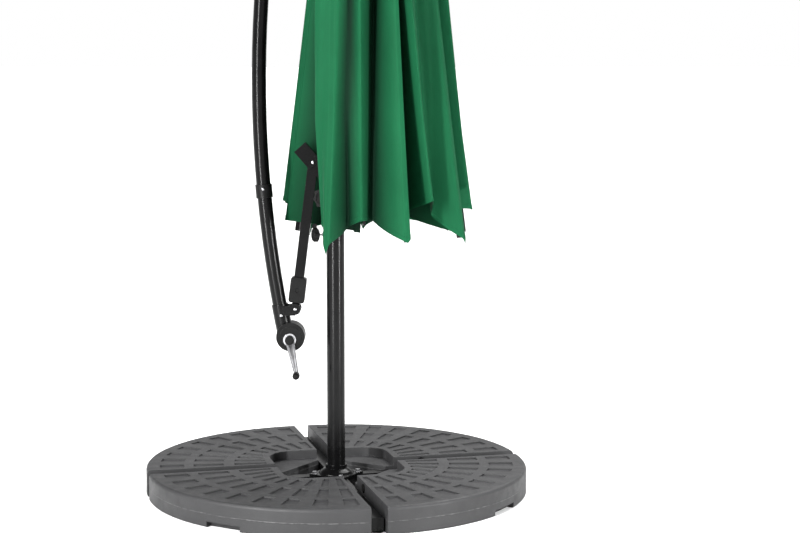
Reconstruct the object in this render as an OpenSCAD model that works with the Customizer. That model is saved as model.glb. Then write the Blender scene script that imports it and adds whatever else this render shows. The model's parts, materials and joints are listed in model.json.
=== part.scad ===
// Offset hanging patio umbrella, closed, on a cross base with four weight tanks.
// Millimetres. Z is up, the mast stands on the origin, the curved arm is on -X
// and the folded canopy hangs on +X. The cross is turned about the mast.

/* [Base] */
// turn of the cross base about the mast
cross_turn = 14; // [0:1:45]
// side of the square cross tubes
cross_side = 32; // [28:1:34]
// wall of the cross tubes
cross_wall = 2.5; // [1.5:0.5:3]
// radius of each quarter tank about its own corner
tank_r = 482; // [470:1:490]
// height of the tanks
tank_h = 70; // [66:1:76]
// depth of the grip cells in the tank tops
cell_depth = 4; // [2:0.5:5]

/* [Mast] */
// outer diameter of the mast
mast_d = 48; // [46:1:48]
// wall of the mast tube
mast_wall = 1.8; // [1.5:0.1:2.5]

/* [Arm] */
// outer diameter of the curved arm
arm_d = 38; // [34:1:38]
// wall of the arm tube
arm_wall = 2; // [1.5:0.1:2.5]

/* [Strut] */
// width of the strut's rectangular tube
strut_w = 26; // [20:1:26]

/* [Canopy] */
// thickness of the folded cloth wall
cloth_t = 3; // [2:0.5:4]
// diameter of the centre pole
pole_d = 25; // [20:1:25]

/* [Hidden] */
$fn = 64;
mast_r = mast_d / 2;
arm_r = arm_d / 2;
half = cross_side / 2;
cross_z = 6;
cross_top = cross_z + cross_side;
cross_len = 476;
gap = 20.5;
flange_z = cross_top;
bolt_ring = 59;
// the arm is bent to one circle that lies in the XZ plane
arc_x = 3045;
arc_z = 1063;
arc_r = 3243;
arm_lo = 440;
arm_mid = 797;
arm_top = 2372;
// pivots, as X and Z
head_z = 1550;
hang = [112, 2400];
handle_pin = [-57, 873.5];
lug = [-106.3, 486];
house = [-118.6, 413];
hub = [-120.7, 406];
grip = [-102.8, 314];
strut_len = norm(handle_pin - lug);
strut_tilt = atan2(handle_pin[0] - lug[0], handle_pin[1] - lug[1]);
handle_tilt = 49;
handle_end = 53;
knob_turn = 25;
knob_z = 784;
stud_turn = 18;
stud_z = 683;
axis_x = 112;
folds = [-121, -72, -26, 14, 42, 100, 138, 157];
fold_grow = [1, 1, 1, 1, 1, 1, 1, 1.07];
ring_z = [650, 700, 769, 950, 1130, 1303, 1600, 1900, 2200, 2290];
fold_r = [[650, 252], [700, 258], [769, 256], [1303, 184], [2200, 62], [2290, 34]];
valley_r = [[650, 62], [1303, 55], [2200, 50], [2290, 31]];

function arc_a(z) = asin((z - arc_z) / arc_r);
function arc_pt(z) = arc_x - arc_r * cos(arc_a(z));

// a tube or rod along the arm's circle between two heights
module arc_rod(z0, z1, r) {
    a0 = arc_a(z0);
    a1 = arc_a(z1);
    translate([arc_x, 0, arc_z]) rotate([90, 0, 0]) rotate([0, 0, 180 - a1])
        rotate_extrude(angle = a1 - a0, $fn = 720) translate([arc_r, 0]) circle(r, $fn = 48);
}

module arc_tube(z0, z1, ro, ri) {
    a0 = arc_a(z0);
    a1 = arc_a(z1);
    translate([arc_x, 0, arc_z]) rotate([90, 0, 0]) rotate([0, 0, 180 - a1])
        rotate_extrude(angle = a1 - a0, $fn = 720) translate([arc_r, 0]) difference() {
            circle(ro, $fn = 48);
            circle(ri, $fn = 48);
        }
}

module tube(r, ri, z0, z1) {
    difference() {
        translate([0, 0, z0]) cylinder(h = z1 - z0, r = r);
        translate([0, 0, z0 - 1]) cylinder(h = z1 - z0 + 2, r = ri);
    }
}

// a rod along Y at a point of the XZ plane
module y_rod(p, r, y0, y1) {
    translate([p[0], y1, p[1]]) rotate([90, 0, 0]) cylinder(h = y1 - y0, r = r);
}

module y_hex(p, r, y0, y1) {
    translate([p[0], y1, p[1]]) rotate([90, 0, 0]) cylinder(h = y1 - y0, r = r, $fn = 6);
}

module cross() {
    rotate([0, 0, cross_turn]) children();
}

module box_at(p, s) {
    translate([p[0] - s[0] / 2, p[1] - s[1] / 2, p[2] - s[2] / 2]) cube(s);
}

// frame whose Z runs from the lug up the strut
module on_strut() {
    translate([lug[0], 0, lug[1]]) rotate([0, strut_tilt, 0]) children();
}

// frame whose X runs from the handle pin to the free end of the handle
module on_handle() {
    translate([handle_pin[0], 0, handle_pin[1]]) rotate([0, handle_tilt - 180, 0])
        mirror([0, 0, 1]) children();
}

// frames whose Z runs out along the two clamp screws
module on_lock() {
    translate([0, 0, knob_z]) rotate([0, 0, -90 - knob_turn]) rotate([0, 90, 0]) children();
}

module on_stud() {
    translate([0, 0, stud_z]) rotate([0, 0, 180 + stud_turn]) rotate([0, 90, 0]) children();
}

// ---- cross base ----

module tube_run(x0, x1) {
    difference() {
        translate([x0, -half, cross_z]) cube([x1 - x0, cross_side, cross_side]);
        translate([x0 - 1, -half + cross_wall, cross_z + cross_wall])
            cube([x1 - x0 + 2, cross_side - 2 * cross_wall, cross_side - 2 * cross_wall]);
        for (s = [-1, 1]) translate([s * bolt_ring, 0, cross_top - 6]) cylinder(h = 10, r = 4.4);
    }
}

module cross_tube_long() {
    color("#2a2b2d") cross() tube_run(-cross_len, cross_len);
}

module cross_tube_short() {
    color("#2a2b2d") cross() for (a = [90, 270]) rotate([0, 0, a]) tube_run(half, cross_len);
}

module tube_end_caps() {
    in = cross_side - 2 * cross_wall - 0.4;
    color("#151515") cross() for (a = [0 : 90 : 270]) rotate([0, 0, a]) {
        translate([cross_len, -half, cross_z]) cube([4, cross_side, cross_side]);
        translate([cross_len - 18, -in / 2, cross_z + half - in / 2]) cube([18, in, in]);
    }
}

module floor_feet() {
    color("#151515") cross() for (a = [0 : 90 : 270]) rotate([0, 0, a])
        translate([440, 0, 0]) cylinder(h = cross_z, r = 13);
    color("#151515") cross() for (a = [0 : 90 : 270]) rotate([0, 0, a])
        translate([70, 0, 0]) cylinder(h = cross_z, r = 13);
}

module mast_flange() {
    color("#2a2b2d") cross() difference() {
        union() {
            intersection() {
                translate([0, 0, flange_z]) rotate([0, 0, 45]) translate([-53, -53, 0]) cube([106, 106, 4]);
                translate([0, 0, flange_z]) cylinder(h = 4, r = 73);
            }
            rotate_extrude() polygon([
                [20, flange_z], [48, flange_z], [47.5, 42], [46, 44.5], [42, 48.5], [36, 52.5],
                [31, 55], [28.5, 56], [28.5, 65], [27.5, 66], [20, 66]
            ]);
        }
        translate([0, 0, flange_z - 1]) cylinder(h = 40, r = mast_r + 0.1);
        for (a = [0 : 90 : 270]) rotate([0, 0, a])
            translate([bolt_ring, 0, flange_z - 1]) cylinder(h = 20, r = 4.4);
    }
}

module flange_bolts() {
    color("#b9bcc0") cross() for (a = [0 : 90 : 270]) rotate([0, 0, a]) translate([bolt_ring, 0, 0]) {
        translate([0, 0, 42]) cylinder(h = 1.2, r = 8);
        translate([0, 0, 43.2]) cylinder(h = 5, r = 6.6, $fn = 6);
        translate([0, 0, 27]) cylinder(h = 15, r = 4);
    }
}

module flange_nuts() {
    color("#b9bcc0") cross() for (a = [0 : 90 : 270]) rotate([0, 0, a]) translate([bolt_ring, 0, 28.9])
        difference() {
            cylinder(h = 6.5, r = 7, $fn = 6);
            translate([0, 0, -1]) cylinder(h = 9, r = 4.05);
        }
}

// ---- mast ----

module lower_mast() {
    color("#2a2b2d") difference() {
        tube(mast_r, mast_r - mast_wall, flange_z + 0.2, 1180);
        on_stud() cylinder(h = 40, r = 3.4);
    }
}

module upper_mast() {
    ri = mast_r - mast_wall;
    color("#2a2b2d") difference() {
        union() {
            translate([0, 0, 1180]) cylinder(h = 350, r = mast_r);
            translate([0, 0, 1120]) cylinder(h = 61, r = ri - 0.1);
        }
        translate([0, 0, 1100]) cylinder(h = 500, r = ri - 1.9);
    }
}

module mast_head_fork() {
    color("#1c1c1d") difference() {
        union() {
            translate([0, 0, 1500]) cylinder(h = 30, r = mast_r - mast_wall - 2);
            translate([0, 0, 1530]) cylinder(h = 4, r = mast_r);
            for (s = [-1, 1]) {
                box_at([0, s * 19.5, 1542], [28, 5, 16]);
                y_rod([0, head_z], 14, s * 19.5 - 2.5, s * 19.5 + 2.5);
            }
        }
        y_rod([0, head_z], 6.05, -30, 30);
    }
}

module head_pivot_bolt() {
    color("#b9bcc0") {
        y_rod([0, head_z], 6, -22, 23);
        y_rod([0, head_z], 9, -26.5, -22);
    }
}

module head_pivot_nut() {
    color("#b9bcc0") difference() {
        y_hex([0, head_z], 9.5, 22, 27.5);
        y_rod([0, head_z], 6.02, 21, 24);
    }
}

module mast_knob_boss() {
    color("#151515") difference() {
        on_stud() translate([0, 0, 20]) cylinder(h = 13, r = 9);
        translate([0, 0, 600]) cylinder(h = 150, r = mast_r);
        on_stud() cylinder(h = 60, r = 2.85);
    }
}

module lock_wire() {
    p = [[-39.8, -12.9, 691], [-33, -10.7, 699], [-29, -9.4, 728], [-24, -7.8, 731]];
    color("#c9cbce") for (i = [0 : 2]) {
        d = p[i + 1] - p[i];
        translate(p[i]) rotate([0, acos(d[2] / norm(d)), atan2(d[1], d[0])])
            translate([0, 0, -0.6]) cylinder(h = norm(d) + 1.2, r = 1, $fn = 16);
    }
}

// the eight grip lobes of a hand knob
module lobes(r, z0, h) {
    for (i = [0 : 7]) rotate([0, 0, i * 45 + 10])
        translate([r * 0.78, 0, z0]) cylinder(h = h, r = r * 0.22, $fn = 24);
}

module mast_knob() {
    color("#151515") on_stud() difference() {
        union() {
            rotate_extrude() polygon([
                [0, 44], [8, 44], [8, 46.5], [15.6, 47], [15.9, 48], [15.9, 61], [15, 62], [8, 64], [0, 64]
            ]);
            lobes(18.5, 48.5, 11.5);
        }
        cylinder(h = 60, r = 2.85);
    }
}

module mast_knob_screw() {
    color("#c9cbce") on_stud() translate([0, 0, 18]) cylinder(h = 41.5, r = 2.8);
}

// ---- tanks ----

function recess(t) =
    let (m = min(t, 90 - t))
    m < 27 ? 142.5 / cos(m) : 102.5 * cos(t - 45) + sqrt(4900 - pow(102.5 * sin(t - 45), 2));

module ring_cut(r0, r1, mid, wide) {
    rotate([0, 0, mid - wide / 2]) rotate_extrude(angle = wide, $fn = 360)
        translate([r0, tank_h - cell_depth]) square([r1 - r0, 10]);
}

module tank(k) {
    color("#3c3d3f") cross() rotate([0, 0, 90 * k]) difference() {
        translate([gap, gap, 0]) rotate_extrude(angle = 90, $fn = 360) polygon([
            [0, 0], [tank_r - 3, 0], [tank_r, 3], [tank_r, tank_h - 8], [tank_r - 1, tank_h - 4.5],
            [tank_r - 3.5, tank_h - 1.5], [tank_r - 7, tank_h], [0, tank_h]
        ]);
        // opening round the flange
        rotate([0, 0, 45]) translate([-300, -300, -1]) cube([413.2, 600, 80]);
        // shelf round the middle
        translate([0, 0, 46]) linear_extrude(40) {
            square([163, 93]);
            square([93, 163]);
            translate([93, 93]) circle(70);
        }
        // hand notch under the rim
        rotate([0, 0, 45]) translate([gap * sqrt(2) + tank_r - 22, -50, -1]) cube([60, 100, 16]);
        translate([gap, gap, 0]) for (i = [0 : 8]) {
            t = 5 + 10 * i;
            ring_cut(recess(t) + 20, 249, t, 5);
            ring_cut(277, 357, t, 5);
            ring_cut(382, 446, t, 5);
        }
        // filler neck in the side wall
        translate([240, gap - 1, 54]) rotate([-90, 0, 0]) cylinder(h = 21, r = 9.2);
    }
}

module fill_cap(k) {
    color("#232324") cross() rotate([0, 0, 90 * k]) {
        translate([240, gap, 54]) rotate([-90, 0, 0]) cylinder(h = 16, r = 9);
        translate([240, gap, 54]) rotate([90, 0, 0]) cylinder(h = 3.5, r = 12);
    }
}

// ---- slider, lock knob and handle ----

module slider_sleeve() {
    color("#1c1c1d") difference() {
        union() {
            translate([0, 0, 745]) cylinder(h = 113, r = 31);
            translate([0, 0, 745]) cylinder(h = 8, r = 33);
            translate([0, 0, 850]) cylinder(h = 8, r = 33);
            on_lock() translate([0, 0, 20]) cylinder(h = 31, r = 13);
        }
        translate([0, 0, 740]) cylinder(h = 130, r = 27.2);
        on_lock() cylinder(h = 70, r = 5.05);
    }
}

module slider_liner() {
    color("#101010") difference() {
        union() {
            translate([0, 0, 742]) cylinder(h = 119, r = 27.1);
            translate([0, 0, 742]) cylinder(h = 2.9, r = 30);
            translate([0, 0, 858.1]) cylinder(h = 2.9, r = 30);
        }
        translate([0, 0, 740]) cylinder(h = 130, r = mast_r + 0.35);
        on_lock() cylinder(h = 40, r = 5.3);
    }
}

// a channel open on its lower side, from x0 to x1 along the handle
module channel(x0, x1, h, y, t) {
    difference() {
        translate([x0, -y, -h / 2]) cube([x1 - x0, 2 * y, h]);
        translate([x0 - 1, -y + t, -h / 2 - 1]) cube([x1 - x0 + 2, 2 * (y - t), h - t + 1]);
    }
}

module slider_handle() {
    color("#2a2b2d") difference() {
        on_handle() channel(-9, handle_end, 39, 18, 2.3);
        y_rod(handle_pin, 4.05, -30, 30);
        translate([0, 0, 700]) cylinder(h = 300, r = 33.2);
    }
}

module handle_inner_channel() {
    color("#242526") difference() {
        on_handle() channel(-80, -9.2, 33, 16.5, 2.5);
        translate([0, 0, 700]) cylinder(h = 151, r = 31.1);
        translate([0, 0, 840]) cylinder(h = 19, r = 33.1);
        translate([0, 0, 850]) cylinder(h = 100, r = 30.2);
        on_lock() translate([0, 0, 20]) cylinder(h = 60, r = 14);
    }
}

module handle_pin_bolt() {
    color("#b9bcc0") {
        y_rod(handle_pin, 4, -18, 18);
        y_rod(handle_pin, 6.5, -21.5, -18);
        y_rod(handle_pin, 6.5, 18, 21.5);
    }
}

module lock_knob() {
    color("#151515") on_lock() difference() {
        union() {
            rotate_extrude() polygon([
                [0, 52], [10, 52], [10, 55], [23.5, 55.5], [24, 57], [24, 72], [23, 73], [20, 73],
                [20, 76], [18, 76], [17, 74.5], [14, 76.5], [8, 78.3], [0, 78.8]
            ]);
            lobes(28, 57.5, 14);
        }
        cylinder(h = 66, r = 5.05);
    }
}

module lock_knob_screw() {
    color("#c9cbce") on_lock() translate([0, 0, 26]) cylinder(h = 39.5, r = 5);
}

// ---- strut ----

module strut_tube() {
    w = strut_w;
    color("#2a2b2d") difference() {
        union() {
            on_strut() {
                box_at([0, 0, (strut_len + 34) / 2], [w, 20, strut_len - 34]);
                box_at([0, 0, 18], [20, 15, 34]);
            }
            y_rod(lug, 11.5, -7.3, 7.3);
            y_rod(handle_pin, w / 2 + 0.4, -9.8, 9.8);
        }
        on_strut() box_at([0, 0, (strut_len + 18) / 2], [w - 4, 16, strut_len - 62]);
        y_rod(lug, 5.2, -20, 20);
        y_rod(handle_pin, 4.06, -20, 20);
    }
}

module round_box(w, l, r) {
    translate([-w / 2 + r, -l / 2]) square([w - 2 * r, l]);
    translate([-w / 2, -l / 2 + r]) square([w, l - 2 * r]);
    for (a = [-1, 1], b = [-1, 1]) translate([a * (w / 2 - r), b * (l / 2 - r)]) circle(r);
}

module strut_boot() {
    color("#151515") on_strut() difference() {
        translate([0, 17, 50]) rotate([90, 0, 0]) linear_extrude(34) round_box(42, 67, 7);
        box_at([0, 0, 74], [strut_w + 0.3, 20.3, 80.5]);
        box_at([0, 0, 20], [20.4, 15.4, 32]);
        translate([0, -14.5, 50]) rotate([90, 0, 0]) cylinder(h = 10, r = 6.5);
    }
}

// ---- head carriage that tilts on the mast and guides the arm ----

module head_carriage() {
    gx = arc_pt(head_z);
    color("#1c1c1d") difference() {
        union() {
            y_rod([0, head_z], 13.5, -16.5, 16.5);
            translate([gx, -16.5, head_z - 11]) cube([-gx, 33, 22]);
            arc_rod(1524, 1576, 27);
        }
        arc_rod(1500, 1600, 22.4);
        y_rod([0, head_z], 6.05, -30, 30);
    }
}

module guide_liner() {
    color("#101010") difference() {
        union() {
            arc_rod(1520, 1580, 22.3);
            arc_rod(1577, 1581, 26);
            arc_rod(1519, 1523, 26);
        }
        arc_rod(1500, 1600, arm_r + 0.35);
    }
}

// ---- arm ----

module arm_lower() {
    color("#2a2b2d") difference() {
        arc_tube(arm_lo, arm_mid, arm_r, arm_r - arm_wall);
        y_rod([arc_pt(469), 469], 3.2, -30, 30);
    }
}

module arm_upper() {
    color("#2a2b2d") difference() {
        arc_tube(arm_mid, arm_top, arm_r, arm_r - arm_wall);
        y_rod([arc_pt(804), 804], 3.2, -30, 30);
    }
}

module arm_sleeve() {
    color("#1c1c1d") difference() {
        arc_tube(780, 815, 22, arm_r + 0.05);
        y_rod([arc_pt(804), 804], 3.2, -30, 30);
    }
}

module arm_sleeve_bolt() {
    p = [arc_pt(804), 804];
    color("#b9bcc0") {
        y_rod(p, 3, -22, 22);
        y_rod(p, 5, -25.5, -22);
        y_rod(p, 5, 22, 25.5);
    }
}

module crank_bracket() {
    color("#2a2b2d") difference() {
        union() {
            arc_rod(418, 497, 22);
            for (s = [-1, 1]) {
                box_at([-124, s * 20, 482], [36, 3.6, 26]);
                y_rod(lug, 15, s * 20 - 1.8, s * 20 + 1.8);
            }
        }
        arc_rod(410, 510, arm_r + 0.05);
        y_rod(house, 34.3, -30, 30);
        y_rod([arc_pt(469), 469], 3.2, -30, 30);
        y_rod(lug, 5, -30, 30);
        translate([-117, -18.2, 440]) cube([60, 36.4, 80]);
    }
}

module bracket_bolt() {
    p = [arc_pt(469), 469];
    color("#b9bcc0") {
        y_rod(p, 3, -22, 22);
        y_rod(p, 5, -25.3, -22);
        y_rod(p, 5, 22, 25.3);
    }
}

module lug_studs() {
    color("#b9bcc0") for (s = [-1, 1]) {
        y_rod(lug, 4.9, s * 20.1 - 1.7, s * 20.1 + 1.7);
        y_rod(lug, 6.5, s * 23.5 - 1.7, s * 23.5 + 1.7);
    }
}

module crank_housing() {
    color("#1c1c1d") difference() {
        union() {
            y_rod(house, 38, -31, 19);
            y_rod(house, 28.5, -32.5, -30);
        }
        y_rod(house, 34.5, -28, 30);
        y_rod(hub, 8.4, -40, 0);
        arc_rod(400, 480, 22.3);
    }
}

module housing_cover() {
    color("#6a6c6f") difference() {
        y_rod(house, 38, 19.1, 24);
        arc_rod(410, 500, 22.3);
    }
}

module arm_tip_bracket() {
    e = [arc_pt(arm_top), arm_top];
    d = hang - e;
    color("#1c1c1d") difference() {
        union() {
            arc_rod(arm_top - 20, arm_top, arm_r - arm_wall - 0.05);
            arc_rod(arm_top, arm_top + 5, 20);
            for (s = [-1, 1]) {
                y_rod(hang, 13, s * 12.5 - 2, s * 12.5 + 2);
                translate([e[0], s * 12.5 - 2, e[1]]) rotate([0, -atan2(d[1], d[0]), 0])
                    translate([0, 0, -9]) cube([norm(d), 4, 20]);
            }
        }
        y_rod(hang, 5.05, -30, 30);
        translate([hang[0], 10.3, hang[1]]) rotate([90, 0, 0]) cylinder(h = 20.6, r = 15);
        arc_rod(arm_top - 30, arm_top + 9, 9);
    }
}

module hang_bolt() {
    color("#b9bcc0") {
        y_rod(hang, 5, -14.5, 14.5);
        y_rod(hang, 8, -18, -14.5);
        y_rod(hang, 8, 14.5, 18);
    }
}

// ---- crank ----

module crank_hub() {
    color("#c9cbce") {
        y_rod(hub, 17, -35.5, -33);
        y_rod(hub, 8, -33, -18);
    }
}

module crank_lever() {
    d = grip - hub;
    color("#8f9194") difference() {
        union() {
            y_rod(hub, 12, -38.5, -35.5);
            y_rod(grip, 6, -38.5, -35.5);
            translate([hub[0], -35.5, hub[1]]) rotate([90, 0, 0])
                rotate([0, 0, atan2(d[1], d[0])]) linear_extrude(3)
                    polygon([[0, -12], [norm(d), -5], [norm(d), 5], [0, 12]]);
            y_rod(grip, 3, -68, -36);
        }
    }
}

module crank_cap() {
    color("#151515") {
        y_rod(hub, 12, -42, -38.5);
        y_rod(hub, 9, -43.5, -42);
    }
}

module cord_reel() {
    color("#6a6c6f") {
        y_rod(hub, 9, -18, 14);
        y_rod(hub, 18, -18, -16);
        y_rod(hub, 18, 12, 14);
    }
}

module crank_knob() {
    color("#232324") difference() {
        translate([grip[0], -40, grip[1]]) rotate([90, 0, 0]) rotate_extrude() polygon([
            [3.05, 0], [8, 0], [9.2, 4], [9.5, 20], [8.8, 28], [6, 31.5], [0, 32], [0, 29], [3.05, 29]
        ]);
    }
}

// ---- canopy ----

function polar(t, r) = [axis_x + r * cos(t), r * sin(t)];
function count_of() = len(folds) * 3 + 1;
// the folded outline at one height: two corners on each fold, one in each valley and two in the wide one
function outline(z, d) =
    let (
        v = lookup(z, valley_r) - d,
        n = len(folds)
    )
    [for (k = [0 : n - 1])
        let (
            R = lookup(z, fold_r) * fold_grow[k] - (d > 0 ? 7 : 0),
            a = (d > 0 ? 6 : 9) / R * 57.3,
            t = folds[k],
            u = k < n - 1 ? folds[k + 1] : 239
        )
        each concat(
            [concat(polar(t - a, R), [z]), concat(polar(t + a, R), [z])],
            k < n - 1 ? [concat(polar((t + u) / 2, v), [z])]
                : [concat(polar(t + 9, v), [z]), concat(polar(u - 9, v), [z])]
        )];

function quads(a, b, n) =
    [for (j = [0 : n - 1]) let (k = (j + 1) % n) each [[a + j, b + j, b + k], [a + j, b + k, a + k]]];

module canopy() {
    n = count_of();
    m = len(ring_z);
    pts = concat(
        [for (z = ring_z) each outline(z, 0)],
        [for (z = ring_z) each outline(z, cloth_t)]
    );
    color("#16493a") polyhedron(pts, concat(
        [for (i = [0 : m - 2]) each quads(i * n, (i + 1) * n, n)],
        [for (i = [0 : m - 2]) each quads((m + i + 1) * n, (m + i) * n, n)],
        quads(m * n, 0, n),
        quads((m - 1) * n, (2 * m - 1) * n, n)
    ));
}

module canopy_cap() {
    color("#16493a") translate([axis_x, 0, 0]) rotate_extrude() polygon([
        [8.6, 2290.2], [34, 2290.2], [30, 2294], [14, 2300], [8.6, 2300]
    ]);
}

module canopy_hanger() {
    color("#1c1c1d") difference() {
        union() {
            translate([axis_x, 0, 2216]) cylinder(h = 174, r = 8);
            y_rod(hang, 11, -9.5, 9.5);
        }
        y_rod(hang, 5.05, -30, 30);
    }
}

module crown() {
    color("#151515") translate([axis_x, 0, 0]) difference() {
        translate([0, 0, 2186]) cylinder(h = 30, r = 34);
        translate([0, 0, 2180]) cylinder(h = 20, r = pole_d / 2 + 0.1);
    }
}

module centre_pole() {
    color("#2a2b2d") translate([axis_x, 0, 0]) tube(pole_d / 2, pole_d / 2 - 1.5, 1020, 2199);
}

module runner() {
    color("#151515") translate([axis_x, 0, 0]) difference() {
        translate([0, 0, 1085]) cylinder(h = 40, r = 26);
        translate([0, 0, 1080]) cylinder(h = 50, r = pole_d / 2 + 0.35);
    }
}

function rib_at(z) = 44 + (2180 - z) * 0.128;

// a straight bar in the plane of fold t, from [radius, height] a to b
module fold_bar(t, a, b, deep, wide) {
    d = b - a;
    translate([axis_x, 0, 0]) rotate([0, 0, t]) translate([a[0], 0, a[1]])
        rotate([0, atan2(d[0], d[1]), 0]) translate([-deep / 2, -wide / 2, 0]) cube([deep, wide, norm(d)]);
}

module ribs() {
    color("#2a2b2d") for (t = folds) difference() {
        fold_bar(t, [rib_at(2176), 2176], [rib_at(684), 684], 12, 7);
        fold_bar(t, [rib_at(2170), 2170], [rib_at(690), 690], 10, 5);
    }
}

module stretchers() {
    color("#2a2b2d") for (t = folds) fold_bar(t, [31.5, 1112], [rib_at(1560) - 14, 1560], 8, 4);
}

cross_tube_long();
cross_tube_short();
tube_end_caps();
floor_feet();
mast_flange();
flange_bolts();
flange_nuts();
lower_mast();
upper_mast();
mast_head_fork();
head_pivot_bolt();
head_pivot_nut();
mast_knob_boss();
lock_wire();
mast_knob();
mast_knob_screw();
tank(0);  // tank_1
tank(1);  // tank_2
tank(2);  // tank_3
tank(3);  // tank_4
fill_cap(0);  // fill_cap_1
fill_cap(1);  // fill_cap_2
fill_cap(2);  // fill_cap_3
fill_cap(3);  // fill_cap_4
slider_sleeve();
slider_liner();
slider_handle();
handle_inner_channel();
handle_pin_bolt();
lock_knob();
lock_knob_screw();
strut_tube();
strut_boot();
head_carriage();
guide_liner();
arm_lower();
arm_upper();
arm_sleeve();
arm_sleeve_bolt();
crank_bracket();
bracket_bolt();
lug_studs();
crank_housing();
housing_cover();
arm_tip_bracket();
hang_bolt();
crank_hub();
crank_lever();
crank_cap();
cord_reel();
crank_knob();
canopy();
canopy_cap();
canopy_hanger();
crown();
centre_pole();
runner();
ribs();
stretchers();
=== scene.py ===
"""A closed offset patio umbrella on its four-tank base: the looks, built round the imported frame."""
import json
import math

import bmesh
import bpy
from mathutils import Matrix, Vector, noise


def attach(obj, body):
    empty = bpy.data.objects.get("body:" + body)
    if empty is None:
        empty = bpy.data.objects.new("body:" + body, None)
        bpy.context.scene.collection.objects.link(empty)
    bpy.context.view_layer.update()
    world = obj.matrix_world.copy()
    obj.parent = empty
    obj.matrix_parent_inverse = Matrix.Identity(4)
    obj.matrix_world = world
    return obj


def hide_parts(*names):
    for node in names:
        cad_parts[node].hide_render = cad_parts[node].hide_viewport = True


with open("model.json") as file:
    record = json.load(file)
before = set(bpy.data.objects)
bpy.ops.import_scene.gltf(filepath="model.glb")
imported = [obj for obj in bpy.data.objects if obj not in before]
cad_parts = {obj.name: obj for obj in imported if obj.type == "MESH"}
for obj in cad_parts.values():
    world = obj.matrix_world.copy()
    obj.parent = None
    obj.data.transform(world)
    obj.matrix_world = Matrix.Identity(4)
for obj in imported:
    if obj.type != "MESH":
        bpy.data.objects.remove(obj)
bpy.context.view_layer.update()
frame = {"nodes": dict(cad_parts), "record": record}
record = frame["record"]
MM = 0.001

# ---- camera ----

CAMERA_PLACE = (0.166, -4.7026, 1.1472)
CAMERA_PITCH = math.radians(90 - 6.67)
SENSOR = 36.0
FOCAL = 80.56


def make_camera():
    data = bpy.data.cameras.new("camera")
    data.sensor_width = SENSOR
    data.lens = FOCAL
    camera = bpy.data.objects.new("camera", data)
    camera.location = CAMERA_PLACE
    camera.rotation_euler = (CAMERA_PITCH, 0, -0.001)
    bpy.context.scene.collection.objects.link(camera)
    bpy.context.scene.camera = camera


# ---- materials ----

def set_range(node, low, high, to_low, to_high):
    """Fills in the four numbers of a Map Range node."""
    values = {"From Min": low, "From Max": high, "To Min": to_low, "To Max": to_high}
    for key, number in values.items():
        node.inputs[key].default_value = number


class Shader:
    """A node material with the few helpers that every finish here uses."""

    def __init__(self, name):
        self.material = bpy.data.materials.new(name)
        self.material.use_nodes = True
        self.tree = self.material.node_tree
        self.out = self.tree.nodes["Principled BSDF"]
        self.coords = self.add("ShaderNodeTexCoord")

    def add(self, kind, **values):
        made = self.tree.nodes.new(kind)
        for key, value in values.items():
            setattr(made, key, value)
        return made

    def link(self, a, b):
        self.tree.links.new(a, b)

    def put(self, target, value):
        """Sets a socket to a number, a colour or another node's output."""
        if isinstance(value, bpy.types.NodeSocket):
            self.link(value, target)
        else:
            target.default_value = value

    def set(self, **values):
        for key, value in values.items():
            self.put(self.out.inputs[key.replace("_", " ")], value)

    def noise(self, scale, detail=3.0, rough=0.5, where=None, stretch=None):
        made = self.add("ShaderNodeTexNoise")
        made.inputs["Scale"].default_value = scale
        made.inputs["Detail"].default_value = detail
        made.inputs["Roughness"].default_value = rough
        source = where or self.coords.outputs["Object"]
        if stretch:
            mapping = self.add("ShaderNodeMapping")
            mapping.inputs["Scale"].default_value = stretch
            self.link(source, mapping.inputs["Vector"])
            source = mapping.outputs["Vector"]
        self.link(source, made.inputs["Vector"])
        return made.outputs["Fac"]

    def math(self, operation, a, b=0.0):
        made = self.add("ShaderNodeMath", operation=operation)
        self.put(made.inputs[0], a)
        self.put(made.inputs[1], b)
        return made.outputs[0]

    def ramp(self, value, low, high, to_low=0.0, to_high=1.0):
        made = self.add("ShaderNodeMapRange")
        self.put(made.inputs["Value"], value)
        set_range(made, low, high, to_low, to_high)
        return made.outputs["Result"]

    def mix(self, factor, a, b):
        made = self.add("ShaderNodeMix", data_type="RGBA")
        self.put(made.inputs[0], factor)
        self.put(made.inputs[6], a)
        self.put(made.inputs[7], b)
        return made.outputs[2]

    def soft_edges(self, radius):
        made = self.add("ShaderNodeBevel", samples=4)
        made.inputs["Radius"].default_value = radius
        return made.outputs["Normal"]

    def bump(self, height, distance, strength=1.0, under=None):
        made = self.add("ShaderNodeBump")
        made.inputs["Strength"].default_value = strength
        made.inputs["Distance"].default_value = distance
        self.link(height, made.inputs["Height"])
        if under:
            self.link(under, made.inputs["Normal"])
        return made.outputs["Normal"]


def grey(value, tint=1.0):
    return (value, value, value * tint, 1.0)


def powder_coat(name, dark, light, rough):
    """Satin powder coat: orange peel, faint dust and a slightly uneven gloss."""
    s = Shader(name)
    patches = s.noise(14, 4, 0.6)
    s.set(Base_Color=s.mix(s.ramp(patches, 0.35, 0.7), grey(dark, 1.04), grey(light, 1.04)))
    s.set(Roughness=s.ramp(s.noise(40, 4, 0.6), 0.3, 0.7, rough - 0.05, rough + 0.07))
    s.set(Normal=s.bump(s.noise(420, 2, 0.5), 0.00006, 0.2, s.soft_edges(0.0011)))
    s.out.inputs["Specular IOR Level"].default_value = 0.12
    return s.material


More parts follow.
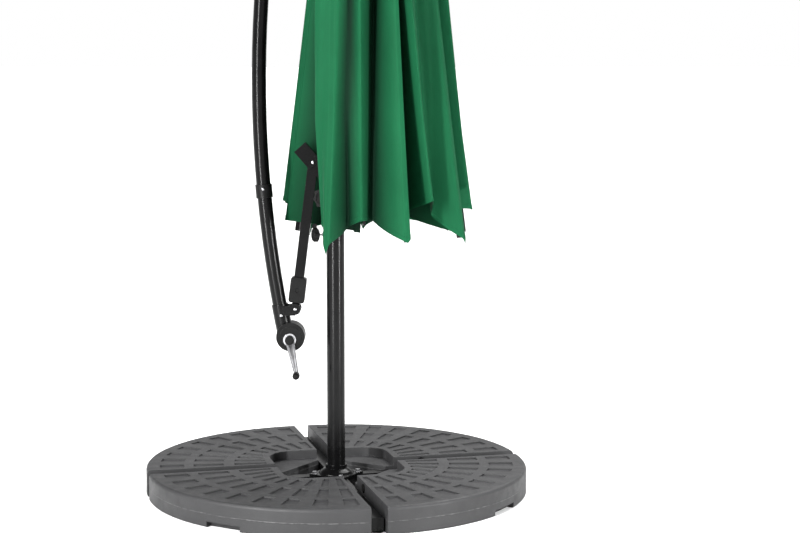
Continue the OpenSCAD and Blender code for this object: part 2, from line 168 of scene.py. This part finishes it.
def moulded_plastic(name, dark, light, rough):
    """Black injection-moulded plastic with a fine spark-eroded grain."""
    s = Shader(name)
    s.set(Base_Color=s.mix(s.ramp(s.noise(22, 4, 0.6), 0.35, 0.7), grey(dark), grey(light)))
    s.set(Roughness=s.ramp(s.noise(60, 3), 0.3, 0.7, rough - 0.06, rough + 0.08))
    s.set(Normal=s.bump(s.noise(1400, 3, 0.6), 0.00015, 0.5, s.soft_edges(0.0014)))
    s.out.inputs["Specular IOR Level"].default_value = 0.12
    return s.material


def plated_metal(name, dark, light, rough):
    """Bare or plated metal, faintly brushed."""
    s = Shader(name)
    brushed = s.noise(180, 3, 0.6, stretch=(1, 1, 0.12))
    s.set(Base_Color=s.mix(s.ramp(s.noise(70, 4), 0.3, 0.7), grey(dark, 1.03), grey(light, 1.03)))
    s.set(Roughness=s.ramp(brushed, 0.3, 0.7, rough - 0.07, rough + 0.1))
    s.set(Normal=s.bump(brushed, 0.00008, 0.4, s.soft_edges(0.0005)))
    s.out.inputs["Metallic"].default_value = 1.0
    return s.material


def tank_plastic():
    """Blow-moulded tank: leathery grain, chalky scuffs, a rubbed line where the mould parts, and painted shade
    on the side walls.
    """
    s = Shader("tank_plastic")
    place = s.add("ShaderNodeSeparateXYZ")
    s.link(s.coords.outputs["Object"], place.inputs[0])
    facing = s.add("ShaderNodeSeparateXYZ")
    s.link(s.add("ShaderNodeNewGeometry").outputs["Normal"], facing.inputs[0])
    height = place.outputs["Z"]
    wall = s.ramp(s.math("ABSOLUTE", facing.outputs["Z"]), 0.5, 0.2)
    wobble = s.math("MULTIPLY", s.math("SUBTRACT", s.noise(9, 2), 0.5), 0.006)
    off = s.math("ABSOLUTE", s.math("SUBTRACT", s.math("SUBTRACT", height, 0.034), wobble))
    line = s.math("MULTIPLY", s.ramp(off, 0.0016, 0.0004), wall)
    broken = s.math("MULTIPLY", line, s.ramp(s.noise(55, 4, 0.7), 0.44, 0.62))
    scuff = s.math("MULTIPLY", s.ramp(s.noise(26, 6, 0.75), 0.62, 0.8), 0.35)
    scuff = s.math("MULTIPLY", scuff, s.ramp(s.noise(240, 3, 0.7), 0.5, 0.62))
    flecks = s.math("MULTIPLY", s.ramp(s.noise(420, 2, 0.6), 0.74, 0.8), 0.5)
    base = s.mix(s.ramp(s.noise(7, 5, 0.65), 0.3, 0.7), grey(0.018, 1.04), grey(0.026, 1.04))
    # Painted shade: the side walls are painted darker than the tops.
    base = s.mix(s.math("MULTIPLY", wall, 0.35), base, grey(0.014, 1.03))
    worn = s.math("MAXIMUM", s.math("MAXIMUM", s.math("MULTIPLY", broken, 0.6), scuff), flecks)
    s.set(Base_Color=s.mix(worn, base, grey(0.10)))
    s.set(Roughness=s.ramp(s.noise(30, 4, 0.6), 0.3, 0.7, 0.46, 0.62))
    lip = s.bump(line, 0.0008, 0.6, s.soft_edges(0.003))
    leather = s.bump(s.noise(260, 4, 0.65), 0.0005, 0.5, lip)
    s.set(Normal=s.bump(s.noise(1300, 2, 0.6), 0.0002, 0.4, leather))
    s.out.inputs["Specular IOR Level"].default_value = 0.28
    return s.material


CLOTH_DEEP = (0.0024, 0.040, 0.0155, 1.0)
CLOTH_LIT = (0.0036, 0.054, 0.021, 1.0)
CLOTH_SLUB = (0.0065, 0.074, 0.030, 1.0)
CLOTH_SEAM = (0.0015, 0.024, 0.010, 1.0)
CLOTH_THREAD = (0.012, 0.10, 0.04, 1.0)
# Painted shade: the near-black that the cloth colour takes in its deep folds.
CLOTH_SHADE = (0.0004, 0.006, 0.0028, 1.0)
WEAVE_PITCH = 0.0011
STITCH_PITCH = 0.0045
HEM_STITCH = 0.0135
SEAM_STITCH = 0.007


def canopy_cloth():
    """Woven polyester: a fine plain weave, seams beside the rib folds and a stitched hem.

    The cloth's UV is its arc length round the canopy and its distance from the hem, in metres. The
    mesh also says how far each point is from the nearest rib fold and how deep it lies in shade.
    """
    s = Shader("canopy_cloth")
    spot = s.add("ShaderNodeSeparateXYZ")
    s.link(s.coords.outputs["UV"], spot.inputs[0])
    along, up = spot.outputs["X"], spot.outputs["Y"]
    from_fold = s.add("ShaderNodeAttribute", attribute_name="from_fold").outputs["Fac"]
    in_shade = s.add("ShaderNodeAttribute", attribute_name="in_shade").outputs["Fac"]

    def thread(axis, period):
        return s.math("SINE", s.math("MULTIPLY", axis, 2 * math.pi / period))

    def row(axis, place, other):
        """A line of running stitches at one distance along an axis."""
        near = s.ramp(s.math("ABSOLUTE", s.math("SUBTRACT", axis, place)), 0.0012, 0.0005)
        dash = s.ramp(thread(other, STITCH_PITCH), -0.75, -0.4)
        return near, s.math("MULTIPLY", near, dash)

    weave = s.math("MULTIPLY", thread(along, WEAVE_PITCH), thread(up, WEAVE_PITCH))
    hem_line, hem_stitch = row(up, HEM_STITCH, along)
    seam_line, seam_stitch = row(from_fold, SEAM_STITCH, up)
    stitches = s.math("MAXIMUM", hem_stitch, seam_stitch)
    slub = s.noise(5, 5, 0.6, where=s.coords.outputs["UV"], stretch=(60, 3, 1))
    base = s.mix(s.ramp(s.noise(3.5, 3, 0.5), 0.3, 0.7), CLOTH_DEEP, CLOTH_LIT)
    base = s.mix(s.math("MULTIPLY", s.ramp(slub, 0.4, 0.75), 0.25), base, CLOTH_SLUB)
    base = s.mix(s.math("MULTIPLY", hem_line, 0.4), base, CLOTH_SEAM)
    base = s.mix(s.math("MULTIPLY", seam_line, 0.2), base, CLOTH_SEAM)
    base = s.mix(s.math("MULTIPLY", stitches, 0.3), base, CLOTH_THREAD)
    # Painted shade: the cloth colour is pulled to near-black where in_shade marks the deep folds.
    base = s.mix(s.ramp(in_shade, 0.1, 0.95, 0.0, 0.93), base, CLOTH_SHADE)
    s.set(Base_Color=base)
    s.set(Roughness=s.ramp(slub, 0.3, 0.7, 0.62, 0.74))
    pucker = s.bump(s.noise(60, 3, 0.5, stretch=(1, 1, 0.25)), 0.0006, 0.35)
    stitched_in = s.math("SUBTRACT", s.math("MULTIPLY", hem_stitch, 0.6), hem_line)
    sewn = s.bump(stitched_in, 0.0008, 0.6, pucker)
    s.set(Normal=s.bump(weave, 0.00012, 0.4, sewn))
    s.out.inputs["Specular IOR Level"].default_value = 0.05
    s.out.inputs["Sheen Weight"].default_value = 0.025
    s.out.inputs["Sheen Roughness"].default_value = 0.45
    s.out.inputs["Sheen Tint"].default_value = (0.45, 0.85, 0.6, 1.0)
    return s.material


FINISH = {
    "frame_paint": powder_coat("frame_paint", 0.0018, 0.0035, 0.2),
    "zinc_steel": plated_metal("zinc_steel", 0.3, 0.45, 0.3),
    "grey_metal": plated_metal("grey_metal", 0.09, 0.14, 0.45),
    "black_plastic": moulded_plastic("black_plastic", 0.002, 0.004, 0.4),
    "tank_plastic": tank_plastic(),
    "canopy_cloth": canopy_cloth(),
}
SLOT_OF = {part["node"]: part["material_slot"] for part in record["subparts"]}
BODY_OF = {node: body for body, nodes in record["behaviour"]["bodies"].items() for node in nodes}


def dress(piece, slot):
    piece.data.materials.clear()
    piece.data.materials.append(FINISH[slot])


# ---- canopy ----

AXIS_X = 112 * MM
CROWN_Z = 2289 * MM
SHOULDER_Z = 2200 * MM
WAIST_Z = 1303 * MM
KNEE_Z = 993 * MM
HEM_Z = 700 * MM
RIDGE, VALLEY = "ridge", "valley"
SHOULDER_R = {RIDGE: 62, VALLEY: 52}
CROWN_R = {RIDGE: 34, VALLEY: 31}


class Feature:
    """One fold or valley of the gathered cloth.

    It has an angle and a radius at the hem, the knee and the waist, a hem height, and how much shade
    gathers in it. Angles are in degrees about the centre pole, and lengths in millimetres.
    """

    def __init__(self, kind, hem, waist, hem_z, knee=None, rib=False, dark=0.0):
        self.kind, self.rib, self.hem_z, self.dark = kind, rib, hem_z * MM, dark
        middle = [(h + w) / 2 for h, w in zip(hem, waist)]
        self.stations = [hem, knee or middle, waist]

    def at(self, z):
        """Angle in radians and radius in metres at a height."""
        hem, knee, waist = self.stations
        if z <= KNEE_Z:
            f = (z - HEM_Z) / (KNEE_Z - HEM_Z)
            angle, radius = (h + (k - h) * f for h, k in zip(hem, knee))
        elif z <= WAIST_Z:
            f = (z - KNEE_Z) / (WAIST_Z - KNEE_Z)
            angle, radius = (k + (w - k) * f for k, w in zip(knee, waist))
        else:
            f = min(1, (z - WAIST_Z) / (SHOULDER_Z - WAIST_Z))
            angle = waist[0]
            radius = waist[1] + (SHOULDER_R[self.kind] - waist[1]) * f
            if z > SHOULDER_Z:
                f = (z - SHOULDER_Z) / (CROWN_Z - SHOULDER_Z)
                radius += (CROWN_R[self.kind] - radius) * f
        return math.radians(angle), radius * MM


def rib(hem, waist, hem_z, knee=None):
    return Feature(RIDGE, hem, waist, hem_z, knee, rib=True)


def fold(hem, waist, hem_z, knee=None):
    return Feature(RIDGE, hem, waist, hem_z, knee)


def dip(hem, waist, hem_z=735, knee=None, dark=0.7):
    return Feature(VALLEY, hem, waist, hem_z, knee, dark=dark)


FEATURES = [
    rib((-120, 252), (-125, 192), 654, knee=(-120.5, 226)),
    dip((-115.5, 174), (-114, 166), 716, knee=(-114.5, 186), dark=1.0),
    fold((-101.6, 194), (-103, 182), 735),
    dip((-94, 168), (-95.5, 105), 733, dark=1.0),
    rib((-72, 253), (-73, 174), 684),
    dip((-65, 80), (-68, 80), 720, dark=1.0),
    fold((-49, 230), (-63.5, 192), 786),
    dip((-38, 182), (-45, 138), 742, dark=0.15),
    rib((-27, 250), (-26, 170), 670),
    dip((-20, 70), (-20, 66), 742, dark=1.0),
    fold((-12, 252), (-12, 188), 812),
    dip((1, 66), (1, 60), 762, dark=1.0),
    rib((14, 262), (14, 184), 742),
    dip((20, 90), (20, 80), 752),
    fold((26, 232), (26, 172), 760),
    dip((33, 62), (33, 60)),
    rib((42, 250), (42, 182), 674),
    dip((49, 60), (49, 56)),
    fold((58, 232), (57, 170), 774),
    dip((66, 60), (66, 56)),
    fold((78, 236), (78, 172), 768),
    dip((90, 60), (90, 56)),
    rib((100, 250), (100, 182), 672),
    dip((106, 62), (106, 60)),
    fold((114, 222), (114, 166), 774),
    dip((120, 70), (120, 66)),
    fold((126, 215), (126, 162), 770),
    dip((132, 66), (132, 62)),
    rib((138, 249), (138, 182), 664),
    dip((142.5, 90), (142.5, 75)),
    fold((147.5, 218), (147.5, 168), 774),
    dip((152, 95), (152, 80)),
    rib((157, 284), (157, 202), 768),
    dip((162, 232), (161.5, 165), 757, dark=0.2),
    fold((166.5, 256), (163.5, 182), 716),
    dip((161.5, 62), (163, 56), 690, dark=1.0),
    dip((222, 58), (214, 56), 690, dark=1.0),
    fold((231, 222), (220, 205), 720, knee=(225, 222)),
]

STEPS = 13
RIDGE_ROUND = 0.11
RIDGE_POWER = 1.55
RIB_CREST = 1.7
WIDE_VALLEY_R = 60
LEAST_R = 27.5 * MM


def crease(w):
    """Height of the cloth between a ridge (w=0, crisp but not a knife edge) and a valley (w=1, soft)."""
    soft = math.sqrt(w * w + RIDGE_ROUND ** 2) - RIDGE_ROUND
    full = math.sqrt(1 + RIDGE_ROUND ** 2) - RIDGE_ROUND
    return (1 - soft / full) ** RIDGE_POWER


def flat_on_rib(ridge, valley, w):
    """Keeps the crest over a rib wide enough to hold the rib."""
    if not ridge.rib:
        return w
    crest = min(0.5, RIB_CREST / abs(ridge.stations[0][0] - valley.stations[0][0]))
    return max(0, (w - crest) / (1 - crest))


def between(a, b, w):
    """Share of a, at w of the way from feature a to feature b."""
    if a.kind == RIDGE and b.kind == VALLEY:
        return crease(flat_on_rib(a, b, w))
    if a.kind == VALLEY and b.kind == RIDGE:
        return 1 - crease(flat_on_rib(b, a, 1 - w))
    return 1 - (3 * w * w - 2 * w ** 3)


def shade(a, b, w, share):
    """How dark the shade is between two features: none on the ridges, most in the deep valleys."""
    if a.kind == b.kind:
        return a.dark + (b.dark - a.dark) * w
    near_ridge = share if a.kind == RIDGE else 1 - share
    wide = min(a.stations[2][1], b.stations[2][1]) < WIDE_VALLEY_R
    return max(a.dark, b.dark) * (1 - near_ridge ** (3.5 if wide else 0.9))


def spacing(a, b, w):
    """Packs the samples towards the ridge, where the cloth bends most."""
    if a.kind == RIDGE and b.kind == VALLEY:
        return w ** 1.35
    if a.kind == VALLEY and b.kind == RIDGE:
        return 1 - (1 - w) ** 1.35
    return w


def wrinkle(angle, z):
    """Long soft hanging wrinkles and a little slack, strongest low down and between the folds."""
    low = min(1, max(0, (SHOULDER_Z - z) / 1.2))
    long_ones = noise.noise(Vector((math.cos(angle) * 9, math.sin(angle) * 9, z * 2.2)))
    fine_ones = noise.noise(Vector((math.cos(angle) * 26 + 7, math.sin(angle) * 26, z * 3.6 + 3)))
    return (long_ones * 7 + fine_ones * 2.6) * MM * low


HEM_ROWS = (0, 0.5, 6, 12, 13, 14, 16, 22)
HEM_STANDS = (0.3, 1.0, 1.1, 1.0, 0.2, 0, 0, 0)
BODY_ROWS = 96


def canopy_rows(top, bottom):
    """Heights of one vertical line of the cloth, from the hem up, and how far the hem stands proud."""
    rows = [(bottom + h * MM, s * MM) for h, s in zip(HEM_ROWS, HEM_STANDS)]
    start = rows[-1][0]
    for i in range(1, BODY_ROWS + 1):
        rows.append((start + (top - start) * (i / BODY_ROWS) ** 0.97, 0))
    return rows


def sheet_point(a, b, w, share, z, proud):
    """Angle and radius of the cloth at one height, at w of the way from feature a to feature b."""
    (start, start_r), (end, end_r) = a.at(z), b.at(z)
    if b is FEATURES[0]:
        end += 2 * math.pi
    angle = start + (end - start) * w
    radius = end_r + (start_r - end_r) * share
    near_ridge = 1 - share if b.kind == RIDGE else share
    slack = wrinkle(angle, z) * (1 - 0.75 * max(0, near_ridge) ** 2)
    return angle, max(radius + slack, LEAST_R) + proud


def from_rib_fold(a, b, angle, radius, z):
    """Rough distance along the cloth to the rib fold beside it; 0.2 m where there is none."""
    ridge = a if a.rib else b if b.rib else None
    if not ridge:
        return 0.2
    ridge_angle, ridge_r = ridge.at(z)
    turn = abs(angle - ridge_angle)
    return min(turn, abs(turn - 2 * math.pi)) * radius + ridge_r - radius


def loft(bm, grid):
    """Skins the closed loop of vertical lines. U runs round the cloth just over the hem, V up from it."""
    over_hem = len(HEM_ROWS)
    uv = bm.loops.layers.uv.new("UVMap")
    u = 0.0
    for line, after in zip(grid, grid[1:] + grid[:1]):
        next_u = u + (after[over_hem].co - line[over_hem].co).length
        for k in range(len(line) - 1):
            corners = (line[k], after[k], after[k + 1], line[k + 1])
            face = bm.faces.new(corners)
            face.smooth = True
            feet = (line[0], after[0], after[0], line[0])
            for loop, side, corner, foot in zip(face.loops, (u, next_u, next_u, u), corners, feet):
                loop[uv].uv = (side, corner.co.z - foot.co.z)
        u = next_u


def make_canopy():
    """One continuous sheet: a closed loop of folds at every height, gathered at the crown."""
    bm = bmesh.new()
    grid, attributes = [], {"from_fold": [], "in_shade": []}
    for a, b in zip(FEATURES, FEATURES[1:] + FEATURES[:1]):
        for k in range(STEPS):
            w = spacing(a, b, k / STEPS)
            share = between(a, b, w)
            hem = b.hem_z + (a.hem_z - b.hem_z) * (1 - w)
            line = []
            for z, proud in canopy_rows(CROWN_Z, hem):
                angle, radius = sheet_point(a, b, w, share, z, proud)
                place = (AXIS_X + radius * math.cos(angle), radius * math.sin(angle), z)
                line.append(bm.verts.new(place))
                attributes["from_fold"].append(from_rib_fold(a, b, angle, radius, z))
                # Painted shade amount for the cloth colour: none on the ridges, most in the deep valleys.
                attributes["in_shade"].append(shade(a, b, w, share))
            grid.append(line)
    loft(bm, grid)
    mesh = bpy.data.meshes.new("canopy_sheet")
    bm.to_mesh(mesh)
    bm.free()
    for name, values in attributes.items():
        mesh.attributes.new(name, "FLOAT", "POINT").data.foreach_set("value", values)
    sheet = bpy.data.objects.new("canopy_sheet", mesh)
    bpy.context.scene.collection.objects.link(sheet)
    thick = sheet.modifiers.new("cloth", "SOLIDIFY")
    thick.thickness = 1.2 * MM
    thick.offset = -1
    dress(sheet, "canopy_cloth")
    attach(sheet, "canopy")
    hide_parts("canopy")


# ---- small hardware ----

def stand_in(name, node, bm):
    """Makes a piece from a mesh in millimetres that takes the place of one CAD node."""
    bmesh.ops.recalc_face_normals(bm, faces=bm.faces)
    for vertex in bm.verts:
        vertex.co *= MM
    for face in bm.faces:
        face.smooth = True
    mesh = bpy.data.meshes.new(name)
    bm.to_mesh(mesh)
    bm.free()
    piece = bpy.data.objects.new(name, mesh)
    bpy.context.scene.collection.objects.link(piece)
    dress(piece, SLOT_OF[node])
    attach(piece, BODY_OF[node])
    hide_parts(node)


def skin(bm, a, b):
    """Faces between two closed rings of vertices, one of which may be a single repeated point."""
    for k in range(len(a)):
        m = (k + 1) % len(a)
        bm.faces.new(list(dict.fromkeys((a[k], a[m], b[m], b[k]))))


def lathe(bm, centre, profile, turn=48):
    """Turns a closed profile of (radius, y) round an axis that runs along Y."""
    rings = []
    for radius, y in profile:
        if radius == 0:
            rings.append([bm.verts.new((centre[0], y, centre[1]))] * turn)
            continue
        ring = []
        for k in range(turn):
            t = 2 * math.pi * k / turn
            x, z = centre[0] + radius * math.cos(t), centre[1] + radius * math.sin(t)
            ring.append(bm.verts.new((x, y, z)))
        rings.append(ring)
    for low, high in zip(rings, rings[1:]):
        skin(bm, low, high)


def extent(node):
    """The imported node's lowest and highest corner, in millimetres."""
    piece = frame["nodes"][node]
    corners = [piece.matrix_world @ Vector(c) for c in piece.bound_box]
    return [[pick(c[i] for c in corners) / MM for i in range(3)] for pick in (min, max)]


def middle_of(node):
    """Where the axis of a node that lies along Y crosses the XZ plane."""
    low, high = extent(node)
    return (low[0] + high[0]) / 2, (low[2] + high[2]) / 2


def domed_bolt(node, shaft, head, thick):
    """A through bolt along Y with a low dome at each end."""
    outer = extent(node)[1][1]
    inner = outer - thick
    side = [(0, outer), (head * 0.45, outer - 0.15), (head * 0.8, outer - 0.8), (head, outer - 2.0),
            (head, inner), (shaft, inner)]
    profile = [(r, -y) for r, y in side] + [(r, y) for r, y in reversed(side)]
    bm = bmesh.new()
    lathe(bm, middle_of(node), profile)
    stand_in(node + "_domed", node, bm)


def make_studs():
    """The two halves of the strut's lower bolt, each with a low domed head."""
    half = [(0, 25.2), (2.4, 25.0), (4.0, 24.2), (4.6, 23.2), (4.6, 21.8), (4.4, 21.8), (4.4, 18.4), (0, 18.4)]
    bm = bmesh.new()
    for side in (-1, 1):
        lathe(bm, middle_of("lug_studs"), [(radius, side * y) for radius, y in half])
    stand_in("lug_studs_domed", "lug_studs", bm)


LEVER_HUB = (-120.7, 406.0)
LEVER_GRIP = (-102.8, 314.0)
LEVER_RIM = ((0.4, -35.5), (0, -35.9), (0, -37.8), (0.25, -38.3), (0.7, -38.5), (1.6, -38.5), (2.0, -38.3),
             (2.3, -37.5))


def make_crank_lever():
    """Cast lever: a long teardrop with a raised, rounded rim round a sunk face, and the grip's pin."""
    dx, dz = LEVER_GRIP[0] - LEVER_HUB[0], LEVER_GRIP[1] - LEVER_HUB[1]
    aim, length = math.atan2(dz, dx), math.hypot(dx, dz)

    def arc(centre, radius, start, sweep, steps):
        turns = [start + sweep * k / steps for k in range(steps + 1)]
        return [(centre[0] + radius * math.cos(t), centre[1] + radius * math.sin(t)) for t in turns]

    def outline(inset):
        """The two end circles and the straight flanks that touch both, set in from the edge."""
        big, small = 12 - inset, 6 - inset
        lean = math.acos((big - small) / length)
        return (arc(LEVER_HUB, big, aim + lean, 2 * math.pi - 2 * lean, 32)
                + arc(LEVER_GRIP, small, aim - lean, 2 * lean, 16))

    bm = bmesh.new()
    rings = [[bm.verts.new((x, y, z)) for x, z in outline(inset)] for inset, y in LEVER_RIM]
    for a, b in zip(rings, rings[1:]):
        skin(bm, a, b)
    bm.faces.new(rings[0])
    bm.faces.new(rings[-1])
    lathe(bm, LEVER_GRIP, [(0, -35.6), (3, -35.6), (3, -67.6), (2.6, -68), (0, -68)], 32)
    stand_in("crank_lever_cast", "crank_lever", bm)


def make_cap():
    """Vent cap over the crown: a small round of cloth that sags a little between eight gores."""
    around, steps = 96, 10
    centre, lowest, thick = AXIS_X / MM, 2290.3, 1.1

    def ring(f, drop):
        """The cloth at f of the way from the hanger to the rim."""
        made = []
        for k in range(around):
            t = 2 * math.pi * k / around
            gore = abs(math.sin(4 * t))
            sag = 0.9 * gore ** 0.7 * math.sin(math.pi * min(1, f * 1.1) / 2)
            radius = 8.9 + (24.9 - 0.5 * gore) * f
            z = max(2299.4 - 7.3 * f ** 1.5 - sag - drop, lowest)
            made.append(bm.verts.new((centre + radius * math.cos(t), radius * math.sin(t), z)))
        return made

    bm = bmesh.new()
    top = [ring(i / steps, 0) for i in range(steps + 1)]
    under = [ring(i / steps, thick) for i in range(steps + 1)]
    rings = top + under[::-1]
    for a, b in zip(rings, rings[1:] + rings[:1]):
        skin(bm, a, b)
    stand_in("vent_cap", "canopy_cap", bm)


# ---- stage ----

def make_stage():
    """A pale floor, a white backdrop behind the object and a dimmer studio on the viewer's side."""
    bpy.ops.mesh.primitive_plane_add(size=400)
    floor = bpy.context.object
    floor.name = "floor"
    s = Shader("floor")
    s.set(Base_Color=s.mix(s.noise(0.7, 2), grey(0.86), grey(0.9)), Roughness=0.9)
    s.out.inputs["Specular IOR Level"].default_value = 0.0
    floor.data.materials.append(s.material)
    world = bpy.data.worlds.new("world")
    bpy.context.scene.world = world
    world.use_nodes = True
    tree = world.node_tree
    coords = tree.nodes.new("ShaderNodeTexCoord")
    split = tree.nodes.new("ShaderNodeSeparateXYZ")
    fade = tree.nodes.new("ShaderNodeMapRange")
    front = tree.nodes.new("ShaderNodeMapRange")
    both = tree.nodes.new("ShaderNodeMath")
    both.operation = "MULTIPLY"
    set_range(fade, 0.16, 0.5, 1.0, 0.1)
    set_range(front, -0.3, 0.35, 0.22, 1.0)
    tree.links.new(coords.outputs["Generated"], split.inputs[0])
    tree.links.new(split.outputs["Z"], fade.inputs["Value"])
    tree.links.new(split.outputs["Y"], front.inputs["Value"])
    tree.links.new(fade.outputs["Result"], both.inputs[0])
    tree.links.new(front.outputs["Result"], both.inputs[1])
    tree.nodes["Background"].inputs["Color"].default_value = (1, 1, 1, 1)
    tree.links.new(both.outputs[0], tree.nodes["Background"].inputs["Strength"])


def area_light(name, place, target, size, power):
    """A tall soft box that draws a clean highlight down the tubes."""
    data = bpy.data.lights.new(name, "AREA")
    data.shape = "RECTANGLE"
    data.size, data.size_y = size
    data.energy = power
    lamp = bpy.data.objects.new(name, data)
    lamp.location = place
    lamp.rotation_euler = (Vector(target) - Vector(place)).to_track_quat("-Z", "Y").to_euler()
    bpy.context.scene.collection.objects.link(lamp)


def sun(name, azimuth, elevation, strength, spread):
    """Soft parallel light from a compass direction, where 0 is the viewer's side and 90 the right."""
    a, e = math.radians(azimuth), math.radians(elevation)
    towards = Vector((math.sin(a) * math.cos(e), -math.cos(a) * math.cos(e), math.sin(e)))
    data = bpy.data.lights.new(name, "SUN")
    data.energy = strength
    data.angle = math.radians(spread)
    lamp = bpy.data.objects.new(name, data)
    lamp.rotation_euler = (-towards).to_track_quat("-Z", "Y").to_euler()
    bpy.context.scene.collection.objects.link(lamp)


def make_lights():
    sun("key", -46, 32, 5.0, 30)
    sun("back_fill", 150, 58, 3.4, 40)
    area_light("strip_left", (-1.85, -2.97, 1.25), (0, 0, 1.1), (0.13, 3.0), 240)
    area_light("strip_right", (2.83, -2.06, 1.25), (0, 0, 1.1), (0.12, 3.0), 240)


make_camera()
make_stage()
make_lights()
for name, piece in frame["nodes"].items():
    dress(piece, SLOT_OF[name])
make_canopy()
make_cap()
make_crank_lever()
make_studs()
domed_bolt("handle_pin_bolt", 4.0, 4.9, 3.5)
domed_bolt("arm_sleeve_bolt", 3.0, 4.4, 3.4)
domed_bolt("bracket_bolt", 3.0, 4.2, 3.2)
bpy.context.scene.view_settings.view_transform = "Standard"
